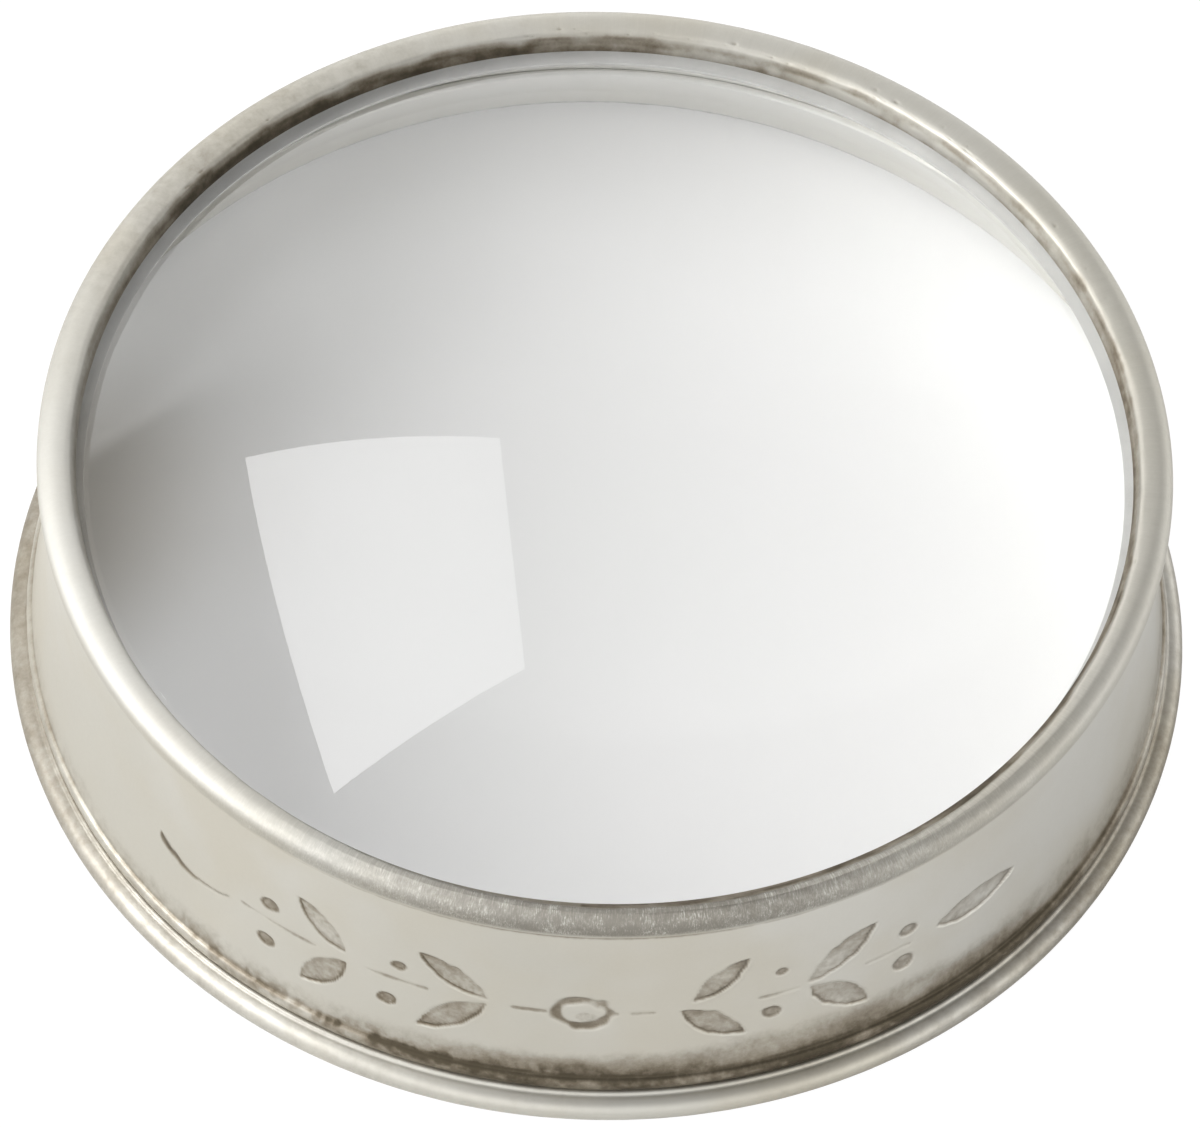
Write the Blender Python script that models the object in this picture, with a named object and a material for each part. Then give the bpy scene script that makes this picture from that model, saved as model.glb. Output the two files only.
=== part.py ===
"""Dome desk magnifier: a domed glass lens held in a turned pewter frame that stands on the page.

Every piece is turned about the Z axis. The origin is the centre of the underside, +Z is up,
lengths are metres. Outlines are (radius, height) points that run clockwise with the radius to
the right: down the outer side and back up the inner side.
"""

import math

import bpy

MM = 0.001
SEGMENTS = 72
ARC_STEP = math.radians(30)

# Driving dimensions
FOOT_RADIUS = 50 * MM
LENS_RADIUS = 45 * MM
DOME_RADIUS = 100 * MM
LENS_EDGE_HEIGHT = 3 * MM
LENS_UNDERSIDE = 21.2 * MM
WALL_BOTTOM = 3.1 * MM
WALL_TOP = 23.4 * MM
WALL_THICKNESS = 1.2 * MM
GAP = 0.3 * MM

# Lens: the polished dome stops at a narrow ground bevel
DOME_EDGE_RADIUS = LENS_RADIUS - 1.2 * MM
LENS_BEVEL_SLOPE = 0.6
LENS_CHAMFER = 0.3 * MM
DOME_RINGS = 9

# Wall: a shallow cavetto from a near-vertical top to a flared hem with a fine ridge
BORE_RADIUS = LENS_RADIUS + GAP
WALL_TOP_RADIUS = BORE_RADIUS + WALL_THICKNESS
WALL_FLARE = 1.6 * MM
FLARE_POWER = 2.6
FLARE_POINTS = 8
HEM_RIDGE_RADIUS = 0.45 * MM
HEM_HEIGHT = 1.5 * MM
HEM_TOP = WALL_BOTTOM + HEM_HEIGHT
RIDGE_OFFSET = 0.1 * MM
RIDGE_DROP = 0.65 * MM
RIDGE_SWEEP = 60

# Rim band: sits on the wall, overhangs it outside and the lens edge inside
RIM_BOTTOM = WALL_TOP + GAP
RIM_OUTER_RADIUS = 47.5 * MM
RIM_LIP_RADIUS = LENS_RADIUS - 0.4 * MM
RIM_CROWN_RADIUS = 1.5 * MM
RIM_LIP_RISE = 1.2 * MM
RIM_SLOPE_WIDTH = 0.55 * MM
RIM_SLOPE_RISE = 2.05 * MM
RIM_UNDERCUT = 0.55 * MM
RIM_REBATE_HEIGHT = 1.1 * MM
CROWN_START, CROWN_END = 95, -30

# Foot: a bead under the wall's hem, a spigot inside the wall and a recess for the felt
BEAD_RADIUS = 1.3 * MM
FOOT_BOTTOM = 0.2 * MM
FOOT_INNER_RADIUS = 44.9 * MM
SPIGOT_THICKNESS = 1.0 * MM
SPIGOT_TOP = 7.5 * MM
SPIGOT_TAPER = 0.3 * MM
SPIGOT_FIT_HEIGHT = HEM_TOP + 1.5 * MM
FELT_TOP = 0.8 * MM
FOOT_BASE_WIDTH = 1.3 * MM
FELT_OUTER_RADIUS = FOOT_RADIUS - BEAD_RADIUS - FOOT_BASE_WIDTH
FELT_INNER_RADIUS = FOOT_INNER_RADIUS + GAP

# Finishes: colour in linear RGB, then roughness
GLASS = ((0.95, 0.96, 0.95), 0.02)
PEWTER = (0.54, 0.52, 0.465)
RIM_ROUGHNESS = 0.5
WALL_ROUGHNESS = 0.42
FOOT_ROUGHNESS = 0.45
SEAT_PEWTER = ((0.82, 0.81, 0.79), 0.6)
BEDDING_RUBBER = ((0.77, 0.77, 0.76), 0.7)
FELT = ((0.53, 0.53, 0.50), 0.95)

# Lens seat: an angle ring under the lens, with a soft ring on its ledge
BEDDING_THICKNESS = 0.6 * MM
BEDDING_INNER_RADIUS = 43.2 * MM
SEAT_INNER_RADIUS = 42.8 * MM
SEAT_LEDGE_THICKNESS = 1.2 * MM
SEAT_LEG_THICKNESS = 1.0 * MM
SEAT_LEG_HEIGHT = 4.2 * MM


def arc(centre, radius, start, end):
    """Points on an arc; angles in degrees, 0 outward and 90 up."""
    start, end = math.radians(start), math.radians(end)
    steps = max(1, math.ceil(abs(end - start) / ARC_STEP))
    angles = [start + (end - start) * step / steps for step in range(steps + 1)]
    return [(centre[0] + radius * math.cos(a), centre[1] + radius * math.sin(a)) for a in angles]


def wall_radius(height):
    """Outer radius of the flared wall at a height."""
    drop = (WALL_TOP - height) / (WALL_TOP - HEM_TOP)
    return WALL_TOP_RADIUS + WALL_FLARE * drop**FLARE_POWER


def material(name, colour, roughness, metallic=0.0, transmission=0.0):
    made = bpy.data.materials.new(name)
    made.use_nodes = True
    shader = made.node_tree.nodes["Principled BSDF"]
    shader.inputs["Base Color"].default_value = (*colour, 1.0)
    shader.inputs["Roughness"].default_value = roughness
    shader.inputs["Metallic"].default_value = metallic
    shader.inputs["Transmission Weight"].default_value = transmission
    made.diffuse_color = (*colour, 1.0)
    return made


def turned(name, outline, finish, parent, closed=True):
    """One piece turned about Z. An open outline starts and ends on the axis."""
    mesh = bpy.data.meshes.new(name)
    count = len(outline)
    edges = [(i, (i + 1) % count) for i in range(count if closed else count - 1)]
    mesh.from_pydata([(radius, 0.0, height) for radius, height in outline], edges, [])
    mesh.materials.append(finish)
    piece = bpy.data.objects.new(name, mesh)
    bpy.context.scene.collection.objects.link(piece)
    piece.parent = parent
    screw = piece.modifiers.new("Turn", "SCREW")
    screw.axis = "Z"
    screw.steps = screw.render_steps = SEGMENTS
    screw.use_smooth_shade = True
    screw.use_merge_vertices = not closed
    screw.merge_threshold = 0.01 * MM
    return piece


def dome_lens(finish, parent):
    bottom = LENS_UNDERSIDE
    bevel_foot = bottom + LENS_EDGE_HEIGHT
    sag_at_edge = DOME_RADIUS - math.sqrt(DOME_RADIUS**2 - DOME_EDGE_RADIUS**2)
    apex = bevel_foot + (LENS_RADIUS - DOME_EDGE_RADIUS) * LENS_BEVEL_SLOPE + sag_at_edge
    half_angle = math.asin(DOME_EDGE_RADIUS / DOME_RADIUS)
    outline = []
    for ring in range(DOME_RINGS + 1):
        angle = half_angle * ring / DOME_RINGS
        outline.append((DOME_RADIUS * math.sin(angle), apex - DOME_RADIUS * (1 - math.cos(angle))))
    outline += [
        (LENS_RADIUS, bevel_foot),
        (LENS_RADIUS, bottom + LENS_CHAMFER),
        (LENS_RADIUS - LENS_CHAMFER, bottom),
        (0.0, bottom),
    ]
    return turned("dome_lens", outline, finish, parent, closed=False)


def rim_band(finish, parent):
    outer, lip, bottom = RIM_OUTER_RADIUS, RIM_LIP_RADIUS, RIM_BOTTOM
    crown = (outer - RIM_CROWN_RADIUS, bottom + RIM_CROWN_RADIUS)
    outline = [(lip, bottom + RIM_LIP_RISE), (lip + RIM_SLOPE_WIDTH, bottom + RIM_SLOPE_RISE)]
    outline += arc(crown, RIM_CROWN_RADIUS, CROWN_START, CROWN_END)
    outline += [
        (outer - RIM_UNDERCUT, bottom),
        (BORE_RADIUS, bottom),
        (BORE_RADIUS, bottom + RIM_REBATE_HEIGHT),
    ]
    return turned("rim_band", outline, finish, parent)


def flared_wall(finish, parent):
    heights = [WALL_TOP + (HEM_TOP - WALL_TOP) * i / (FLARE_POINTS - 1) for i in range(FLARE_POINTS)]
    outer = [(wall_radius(height), height) for height in heights]
    inner = [(radius - WALL_THICKNESS, height) for radius, height in reversed(outer)]
    hem_radius = outer[-1][0]
    ridge_centre = (hem_radius + RIDGE_OFFSET, HEM_TOP - RIDGE_DROP)
    ridge = arc(ridge_centre, HEM_RIDGE_RADIUS, RIDGE_SWEEP, -RIDGE_SWEEP)
    hem = [(hem_radius, WALL_BOTTOM), (hem_radius - WALL_THICKNESS, WALL_BOTTOM)]
    return turned("flared_wall", outer + ridge + hem + inner, finish, parent)


def foot_ring(finish, parent):
    bead_centre = (FOOT_RADIUS - BEAD_RADIUS, FOOT_BOTTOM + BEAD_RADIUS)
    bead_top = bead_centre[1] + BEAD_RADIUS
    spigot_radius = wall_radius(SPIGOT_FIT_HEIGHT) - WALL_THICKNESS - GAP
    recess_top = FELT_TOP + GAP
    recess_radius = FELT_OUTER_RADIUS + GAP
    outline = arc(bead_centre, BEAD_RADIUS, 90, -90) + [
        (recess_radius, FOOT_BOTTOM),
        (recess_radius, recess_top),
        (FOOT_INNER_RADIUS, recess_top),
        (spigot_radius - SPIGOT_THICKNESS, bead_top),
        (spigot_radius - SPIGOT_THICKNESS, SPIGOT_TOP),
        (spigot_radius - SPIGOT_TAPER, SPIGOT_TOP),
        (spigot_radius, bead_top),
    ]
    return turned("foot_ring", outline, finish, parent)


def lens_seat_ring(finish, parent):
    outer = BORE_RADIUS - GAP
    top = LENS_UNDERSIDE - BEDDING_THICKNESS - 2 * GAP
    ledge_bottom = top - SEAT_LEDGE_THICKNESS
    outline = [
        (SEAT_INNER_RADIUS, top),
        (outer, top),
        (outer, top - SEAT_LEG_HEIGHT),
        (outer - SEAT_LEG_THICKNESS, top - SEAT_LEG_HEIGHT),
        (outer - SEAT_LEG_THICKNESS, ledge_bottom),
        (SEAT_INNER_RADIUS, ledge_bottom),
    ]
    return turned("lens_seat_ring", outline, finish, parent)


def lens_bedding_ring(finish, parent):
    outer = LENS_RADIUS - LENS_CHAMFER
    top = LENS_UNDERSIDE - GAP
    outline = [
        (BEDDING_INNER_RADIUS, top),
        (outer, top),
        (outer, top - BEDDING_THICKNESS),
        (BEDDING_INNER_RADIUS, top - BEDDING_THICKNESS),
    ]
    return turned("lens_bedding_ring", outline, finish, parent)


def felt_ring(finish, parent):
    outline = [
        (FELT_INNER_RADIUS, FELT_TOP),
        (FELT_OUTER_RADIUS, FELT_TOP),
        (FELT_OUTER_RADIUS, 0.0),
        (FELT_INNER_RADIUS, 0.0),
    ]
    return turned("felt_ring", outline, finish, parent)


for old in list(bpy.data.objects):
    bpy.data.objects.remove(old)

frame = bpy.data.objects.new("magnifier", None)
bpy.context.scene.collection.objects.link(frame)
dome_lens(material("glass", *GLASS, transmission=1.0), frame)
rim_band(material("rim_pewter", PEWTER, RIM_ROUGHNESS, metallic=1.0), frame)
flared_wall(material("wall_pewter", PEWTER, WALL_ROUGHNESS, metallic=1.0), frame)
foot_ring(material("foot_pewter", PEWTER, FOOT_ROUGHNESS, metallic=1.0), frame)
lens_seat_ring(material("seat_pewter", *SEAT_PEWTER, metallic=1.0), frame)
lens_bedding_ring(material("bedding_rubber", *BEDDING_RUBBER), frame)
felt_ring(material("felt", *FELT), frame)
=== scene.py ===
import math

import bpy
import numpy as np
from mathutils import Matrix, Vector


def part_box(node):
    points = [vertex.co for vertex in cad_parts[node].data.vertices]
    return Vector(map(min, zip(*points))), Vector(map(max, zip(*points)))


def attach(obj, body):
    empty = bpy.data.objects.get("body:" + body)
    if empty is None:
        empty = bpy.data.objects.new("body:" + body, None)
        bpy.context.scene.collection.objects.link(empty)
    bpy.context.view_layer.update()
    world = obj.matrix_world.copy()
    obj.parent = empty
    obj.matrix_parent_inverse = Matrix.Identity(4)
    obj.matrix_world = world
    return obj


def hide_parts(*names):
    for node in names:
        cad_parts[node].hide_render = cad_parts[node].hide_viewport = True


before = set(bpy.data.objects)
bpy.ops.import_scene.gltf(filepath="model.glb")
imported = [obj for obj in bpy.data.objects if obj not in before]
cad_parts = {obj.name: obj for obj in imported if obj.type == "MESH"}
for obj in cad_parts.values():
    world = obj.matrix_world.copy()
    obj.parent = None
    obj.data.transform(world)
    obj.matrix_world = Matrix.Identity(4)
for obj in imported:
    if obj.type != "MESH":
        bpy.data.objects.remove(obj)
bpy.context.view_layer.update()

MM = 0.001

# Sizes that the CAD has too, in millimetres
GAP = 0.3
DOME_RADIUS = 100.0
LENS_EDGE_HEIGHT = 3.0
LENS_CHAMFER = 0.3
LIP_OVERHANG = 0.4
REBATE_HEIGHT = 1.1
WALL_THICKNESS = 1.2
WALL_FLARE = 1.6
FLARE_POWER = 2.6
HEM_HEIGHT = 1.5
FOOT_INNER_RADIUS = 44.9
SPIGOT_THICKNESS = 1.0
FELT_WIDTH = 2.2

# Sizes of the visual pieces only, in millimetres
GROUND_BEVEL = 0.65
OPENING_SHIFT = 0.35
FRONT_WEAR = 0.95
PIT_DEPTH = 0.10
BEAD_RADIUS = 1.29
SPIGOT_RADIUS = 46.47
SEAT_WIDTH = 1.9
BEDDING_WIDTH = 1.85
BEDDING_SQUEEZE = 0.28

# Pits on the rim's lip, and the most that a point's "dirt_and_shade" holds: patina and painted shade
PIT_COUNT = 46
MOST_DIRT_AND_SHADE = 1.2

# The camera looks down at the front through a long lens, rolled a little
CAMERA_AT = Vector((0.0, -0.6074, 0.8521))
CAMERA_PITCH = math.radians(54.178)
CAMERA_ROLL = math.radians(3.025)
CAMERA_LENS = 367.86
CAMERA_SENSOR = 36.0

# A square softbox high at the back left, seen in the dome, and a lower one at the left
KEY_AT = Vector((-0.219, 0.177, 0.706))
KEY_RIGHT = Vector((0.405, 0.382, 0.831))
KEY_FACES = Vector((0.909, -0.081, -0.406))
KEY_SIDE = 0.434
KEY_RADIANCE = 5.1
KEY_FALL = 0.38
SIDE_AZIMUTH = -104
SIDE_ELEVATION = 34
SIDE_DISTANCE = 1.0
SIDE_SIDE = 0.52
SIDE_RADIANCE = 6.8

# The room: the slope up to the top edge of the wall behind, and radiances
WALL_EDGE = 1.15
WALL_EDGE_LEFT = 0.9
LEFT_LIGHT = 3.0
MIDDLE_LIGHT = 0.88
RIGHT_LIGHT = 2.2
CEILING_LEFT = 0.03
CEILING = 0.36

# The floor: its radius in metres, and how much of what the camera sees of it is plain white
FLOOR_RADIUS = 2.5
FLOOR_LIFT = 0.92
FLOOR_WHITE = 1.06

GLASS_IOR = 1.52
RIM_ROUGHNESS = 0.53
WALL_ROUGHNESS = 0.42
FOOT_ROUGHNESS = 0.45

# Colours in linear RGB
PEWTER = (0.540, 0.522, 0.465)
PEWTER_WARM = (0.530, 0.497, 0.415)
PEWTER_PALE = (0.615, 0.602, 0.560)
LINING = (0.81, 0.81, 0.79)
FILED = (0.255, 0.240, 0.208)
PATINA = (0.235, 0.200, 0.150)
PATINA_DARK = (0.090, 0.075, 0.052)
CLEAR = (0.985, 0.99, 0.985)
GROUND = (0.93, 0.94, 0.92)
PAINTED_SHADE_TINT = (0.64, 0.615, 0.57)
WHITE = (1.0, 1.0, 1.0)
BLACK = (0.0, 0.0, 0.0)
SEAT_LIGHT, SEAT_DARK = (0.86, 0.86, 0.84), (0.80, 0.79, 0.77)
RUBBER_LIGHT, RUBBER_DARK = (0.56, 0.56, 0.55), (0.50, 0.50, 0.49)
FELT_LIGHT, FELT_DARK = (0.62, 0.62, 0.59), (0.44, 0.44, 0.41)
FLOOR_LIGHT, FLOOR_DARK = (0.91, 0.91, 0.91), (0.89, 0.89, 0.89)


# ---------------------------------------------------------------- outlines
def arc(centre, radius, start, end, steps):
    """Points on an arc; angles in degrees, 0 outward and 90 up."""
    angles = np.radians(np.linspace(start, end, steps + 1))
    x, y = centre[0] + radius * np.cos(angles), centre[1] + radius * np.sin(angles)
    return list(np.stack([x, y], 1))


def rounded(corners, steps=5):
    """A closed outline whose (radius, height, cut) corners are each turned over the length cut."""
    made = []
    for k, (x, y, cut) in enumerate(corners):
        here = np.array((x, y))
        before = np.array(corners[k - 1][:2]) - here
        after = np.array(corners[(k + 1) % len(corners)][:2]) - here
        if not cut:
            made.append(here)
            continue
        start = here + before / np.linalg.norm(before) * cut
        end = here + after / np.linalg.norm(after) * cut
        for t in np.linspace(0, 1, steps):
            made.append((1 - t) ** 2 * start + 2 * t * (1 - t) * here + t**2 * end)
    return made


def resample(outline, spacing):
    """The closed outline with points added so that no gap is wider than spacing(point)."""
    made = []
    outline = np.array(outline)
    for a, b in zip(outline, np.roll(outline, -1, axis=0)):
        steps = max(1, math.ceil(np.linalg.norm(b - a) / spacing((a + b) / 2)))
        made += [a + (b - a) * k / steps for k in range(steps)]
    return np.array(made)


def smoothed(corners, rounds=4):
    """A smooth curve near the corners, from its first to its last, by cutting corners."""
    points = np.array(corners, float)
    for _ in range(rounds):
        a, b = points[:-1], points[1:]
        cut = np.stack([0.75 * a + 0.25 * b, 0.25 * a + 0.75 * b], 1).reshape(-1, 2)
        points = np.vstack([points[:1], cut, points[-1:]])
    return [(x, y, 0) for x, y in points]


def outward(outline):
    """Unit normals of a clockwise closed outline."""
    along = np.roll(outline, -1, axis=0) - np.roll(outline, 1, axis=0)
    along /= np.maximum(np.linalg.norm(along, axis=1, keepdims=True), 1e-9)
    return np.stack([-along[:, 1], along[:, 0]], 1)


# ---------------------------------------------------------------- shapes in numbers
def ramp(low, high, x):
    """0 at low, 1 at high, smooth between."""
    t = np.clip((x - low) / (high - low), 0, 1)
    return t * t * (3 - 2 * t)


def hump(centre, width, x):
    """1 at the centre, falling off smoothly on both sides."""
    return np.exp(-(((x - centre) / width) ** 2))


def value_noise(seed, cells, u, v):
    """Smooth noise from 0 to 1 that repeats after `cells` cells of u, for points u, v in cells."""
    rows = 64
    table = np.random.default_rng(seed).random((cells, rows))
    u0, v0 = np.floor(u).astype(int), np.floor(v).astype(int)
    fu, fv = ramp(0, 1, u - u0), ramp(0, 1, v - v0)
    corner = [[table[(u0 + i) % cells, (v0 + j) % rows] for j in (0, 1)] for i in (0, 1)]
    low = corner[0][0] * (1 - fu) + corner[1][0] * fu
    high = corner[0][1] * (1 - fu) + corner[1][1] * fu
    return low * (1 - fv) + high * fv


def round_noise(seed, cells, azimuth, v=0.0):
    """value_noise round the ring."""
    u, v = np.broadcast_arrays((azimuth / (2 * math.pi)) % 1.0 * cells, v)
    return value_noise(seed, cells, u, v)


# Azimuth 0 faces the front, -Y, and grows towards +X
def even(count):
    """Azimuths once round the ring, in equal steps."""
    return np.radians(np.linspace(0, 360, count, endpoint=False))


def spaced(fine, coarse, half_width):
    """Azimuths once round the ring: fine steps within half_width of the front, steps 1.5 times as
    wide within half_width of the back, and coarse steps between. The arguments are in degrees."""
    back = fine * 1.5
    runs = [
        (-half_width, half_width, fine),
        (half_width, 180 - half_width, coarse),
        (180 - half_width, 180 + half_width, back),
        (180 + half_width, 360 - half_width, coarse),
    ]
    made = [np.linspace(a, b, round((b - a) / step), endpoint=False) for a, b, step in runs]
    return np.radians(np.concatenate(made))


def from_front(azimuth):
    """Degrees from the front, -180 to 180."""
    return (np.degrees(azimuth) + 180) % 360 - 180


def once_round(azimuth):
    """Degrees from the front, 0 to 360."""
    return np.degrees(azimuth) % 360


def turn_from(start, azimuth):
    """Radians from start, -pi to pi."""
    return (azimuth - start + math.pi) % (2 * math.pi) - math.pi


def grid(azimuths, outline):
    """Azimuth, radius and height of a ring's points, ready for sums over the whole ring."""
    return azimuths[:, None], outline[:, 0], outline[:, 1]


# ---------------------------------------------------------------- mesh pieces
def solid(name, points, faces, materials, node, marks=None):
    """A smooth-shaded closed mesh on the one body, standing for a CAD node."""
    mesh = bpy.data.meshes.new(name)
    mesh.from_pydata(points.tolist(), [], faces)
    mesh.shade_smooth()
    for mark, values in (marks or {}).items():
        layer = mesh.attributes.new(mark, "FLOAT", "POINT")
        layer.data.foreach_set("value", np.ascontiguousarray(values, np.float32).ravel())
    for material in materials:
        mesh.materials.append(material)
    piece = bpy.data.objects.new(name, mesh)
    bpy.context.scene.collection.objects.link(piece)
    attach(piece, "root")
    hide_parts(node)
    return piece


def turned_points(radius, azimuth, height):
    """Points in metres from radii and heights in millimetres."""
    radius, azimuth, height = np.broadcast_arrays(radius, azimuth, height)
    return np.stack([radius * np.sin(azimuth), -radius * np.cos(azimuth), height], -1) * MM


def ring_faces(around, along):
    j, i = np.meshgrid(np.arange(around), np.arange(along), indexing="ij")
    j2, i2 = (j + 1) % around, (i + 1) % along
    quads = np.stack([j * along + i, j * along + i2, j2 * along + i2, j2 * along + i], -1)
    return quads.reshape(-1, 4).tolist()


def ring(name, outline, azimuths, material, node, push, marks=None, widen=0.0):
    """A turned ring from a closed clockwise outline in millimetres. push moves each point along
    its normal and widen moves it outwards, both by (azimuth, outline point)."""
    normals = outward(outline)
    radius = outline[:, 0] + push * normals[:, 0] + widen
    height = outline[:, 1] + push * normals[:, 1]
    points = turned_points(radius, azimuths[:, None], height).reshape(-1, 3)
    faces = ring_faces(len(azimuths), len(outline))
    return solid(name, points, faces, [material], node, marks)


def extent(node):
    """A CAD node's outer radius, lowest height and highest height, in millimetres."""
    low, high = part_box(node)
    return high.x / MM, low.z / MM, high.z / MM


# ---------------------------------------------------------------- materials
class Nodes:
    """Builds the node tree of a material, the world or a light."""

    def __init__(self, owner, coordinates="Object"):
        self.owner = owner
        owner.use_nodes = True
        self.tree = owner.node_tree
        self.shader = self.tree.nodes.get("Principled BSDF")
        self.place = self.add("ShaderNodeTexCoord").outputs[coordinates]

    def add(self, kind, **settings):
        node = self.tree.nodes.new(kind)
        for key, value in settings.items():
            setattr(node, key, value)
        return node

    def put(self, value, socket):
        if isinstance(value, bpy.types.NodeSocket):
            self.tree.links.new(value, socket)
        elif isinstance(value, tuple) and socket.type == "RGBA":
            socket.default_value = (*value, 1.0)
        else:
            socket.default_value = value

    def fill(self, node, values):
        """Puts each value into the node's input of that name or number."""
        for name, value in values.items():
            self.put(value, node.inputs[name])

    def math(self, operation, *values):
        node = self.add("ShaderNodeMath", operation=operation)
        self.fill(node, dict(enumerate(values)))
        return node.outputs[0]

    def weighted(self, a, share_a, b, share_b):
        """a and b added up, each times its share."""
        return self.math("MULTIPLY_ADD", a, share_a, self.math("MULTIPLY", b, share_b))

    def broken(self, value, noise, amount):
        """The value, raised and lowered by noise about its middle."""
        return self.math("MULTIPLY_ADD", self.math("SUBTRACT", noise, 0.5), amount, value)

    def vector(self, operation, *values):
        node = self.add("ShaderNodeVectorMath", operation=operation)
        self.fill(node, dict(enumerate(values)))
        return node.outputs["Vector"]

    def split(self, vector):
        node = self.add("ShaderNodeSeparateXYZ")
        self.put(vector, node.inputs[0])
        return node.outputs

    def noise(self, scale, detail=3.0, rough=0.55, at=None):
        node = self.add("ShaderNodeTexNoise")
        self.put(self.place if at is None else at, node.inputs["Vector"])
        self.fill(node, {"Scale": scale, "Detail": detail, "Roughness": rough})
        return node.outputs["Fac"]

    def ramp(self, value, low, high, to_low=0.0, to_high=1.0, kind="SMOOTHSTEP"):
        node = self.add("ShaderNodeMapRange", interpolation_type=kind)
        ends = {"From Min": low, "From Max": high, "To Min": to_low, "To Max": to_high}
        self.fill(node, {"Value": value, **ends})
        return node.outputs["Result"]

    def mix(self, share, a, b):
        node = self.add("ShaderNodeMix", data_type="RGBA")
        self.fill(node, {0: share, 6: a, 7: b})
        return node.outputs[2]

    def mix_shader(self, share, a, b):
        node = self.add("ShaderNodeMixShader")
        self.fill(node, {0: share, 1: a, 2: b})
        return node.outputs[0]

    def mark(self, name):
        """A value that the mesh's points carry."""
        return self.add("ShaderNodeAttribute", attribute_name=name).outputs["Fac"]

    def round_the_ring(self, height_scale):
        """Coordinates that change round the ring and with height, but not with radius."""
        flat = self.vector("MULTIPLY", self.place, (1.0, 1.0, 0.0))
        rise = self.vector("MULTIPLY", self.place, (0.0, 0.0, height_scale))
        return self.vector("ADD", self.vector("NORMALIZE", flat), rise)

    def bump(self, height, distance, strength):
        node = self.add("ShaderNodeBump")
        self.fill(node, {"Distance": distance, "Strength": strength, "Height": height})
        return node.outputs[0]

    def surface(self, colour, roughness, metallic, normal):
        values = {"Base Color": colour, "Roughness": roughness, "Metallic": metallic}
        self.fill(self.shader, {**values, "Normal": normal})
        return self.owner

    def show(self, shader):
        """Makes another shader the material's surface."""
        self.put(shader, self.tree.nodes["Material Output"].inputs["Surface"])
        return self.owner


def material_nodes(name):
    return Nodes(bpy.data.materials.new(name))


def file_marks(n, colour, relief):
    """Colour and relief with file marks across the ring, where the point value "worn" says."""
    worn = n.mark("worn")
    lines = n.noise(400.0, 5.0, 0.8, at=n.round_the_ring(6.5))
    marks = n.weighted(n.noise(900.0, 3.0, 0.7), 0.35, lines, 0.75)
    relief = n.math("ADD", relief, n.math("MULTIPLY", n.math("MULTIPLY", marks, worn), 16.0))
    dark = n.math("MULTIPLY", n.ramp(marks, 0.66, 0.44), worn)
    colour = n.mix(n.weighted(dark, 0.42, worn, 0.54), colour, FILED)
    pale = n.math("MULTIPLY", n.ramp(marks, 0.60, 0.70), worn)
    return n.mix(n.math("MULTIPLY", pale, 0.85), colour, PEWTER_PALE), relief


def inked(n, colour):
    """The colour with patina where the point value "ink" says."""
    ink = n.mark("ink")
    soot = n.broken(ink, n.noise(1300.0, 4.0, 0.7), 0.5)
    soot = n.math("MULTIPLY", soot, n.ramp(ink, 0.02, 0.2))
    colour = n.mix(n.ramp(soot, 0.0, 0.75), colour, PATINA)
    return n.mix(n.ramp(soot, 0.5, 1.15), colour, PATINA_DARK)


def pewter(name, roughness, filed=False, engraved=False, warm=0.6):
    """Satin pewter. The point value "dirt_and_shade" darkens it with patina and painted shade,
    broken up by noise, and the point value "inner" turns it pale and dull: a pale lining, and
    painted highlights on outer faces. filed adds file marks, and engraved adds ink."""
    n = material_nodes(name)
    tone = n.ramp(n.noise(30.0, 2.0), 0.35, 0.65)
    warmth = n.ramp(n.noise(55.0, 3.0), 0.42, 0.66)
    colour = n.mix(n.math("MULTIPLY", tone, 0.6), PEWTER, PEWTER_PALE)
    colour = n.mix(n.math("MULTIPLY", warmth, warm), colour, PEWTER_WARM)
    grain = n.noise(3000.0, 3.0, 0.6)
    cloud = n.noise(420.0, 4.0, 0.65)
    relief = n.weighted(cloud, 1.2, grain, 0.6)
    rough = n.math("MULTIPLY_ADD", grain, 0.12, roughness - 0.06)
    if filed:
        colour, relief = file_marks(n, colour, relief)
    if engraved:
        colour = inked(n, colour)

    dirt_and_shade = n.mark("dirt_and_shade")
    blotch = n.weighted(n.noise(1100.0, 3.0, 0.7), 0.5, n.noise(300.0, 4.0, 0.6), 0.5)
    patchy = n.broken(dirt_and_shade, blotch, 1.1)
    share = n.math("MULTIPLY", n.ramp(patchy, 0.0, 1.0), n.ramp(dirt_and_shade, 0.0, 0.25))
    colour = n.mix(share, colour, n.mix(n.ramp(patchy, 0.70, 1.25), PATINA, PATINA_DARK))
    rough = n.math("MULTIPLY_ADD", share, 0.15, rough)

    inner = n.mark("inner")
    pale = n.mix(n.math("MULTIPLY", cloud, 0.3), LINING, PEWTER_PALE)
    colour = n.mix(inner, colour, pale)
    rough = n.math("MULTIPLY_ADD", inner, 0.25, rough)
    return n.surface(colour, rough, 1.0, n.bump(relief, 0.00001, 0.6))


def glass(name, roughness, tint, mirror=True):
    """Glass that lets light through to what it covers. Without mirror, it reflects little. The
    point value "painted_shade" tints it brownish grey, as painted shade."""
    n = material_nodes(name)
    cloud = n.ramp(n.noise(35.0, 3.0), 0.3, 0.7)
    colour = n.mix(n.mark("painted_shade"), n.mix(cloud, tint, WHITE), PAINTED_SHADE_TINT)
    n.fill(n.shader, {"Base Color": colour, "Roughness": roughness})
    n.fill(n.shader, {"Transmission Weight": 1.0, "IOR": GLASS_IOR})
    if not mirror:
        n.fill(n.shader, {"Specular Tint": BLACK})
    clear = n.add("ShaderNodeBsdfTransparent").outputs[0]
    path = n.add("ShaderNodeLightPath").outputs
    shown = n.mix_shader(path["Is Diffuse Ray"], n.shader.outputs[0], clear)
    return n.show(n.mix_shader(path["Is Shadow Ray"], shown, clear))


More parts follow.
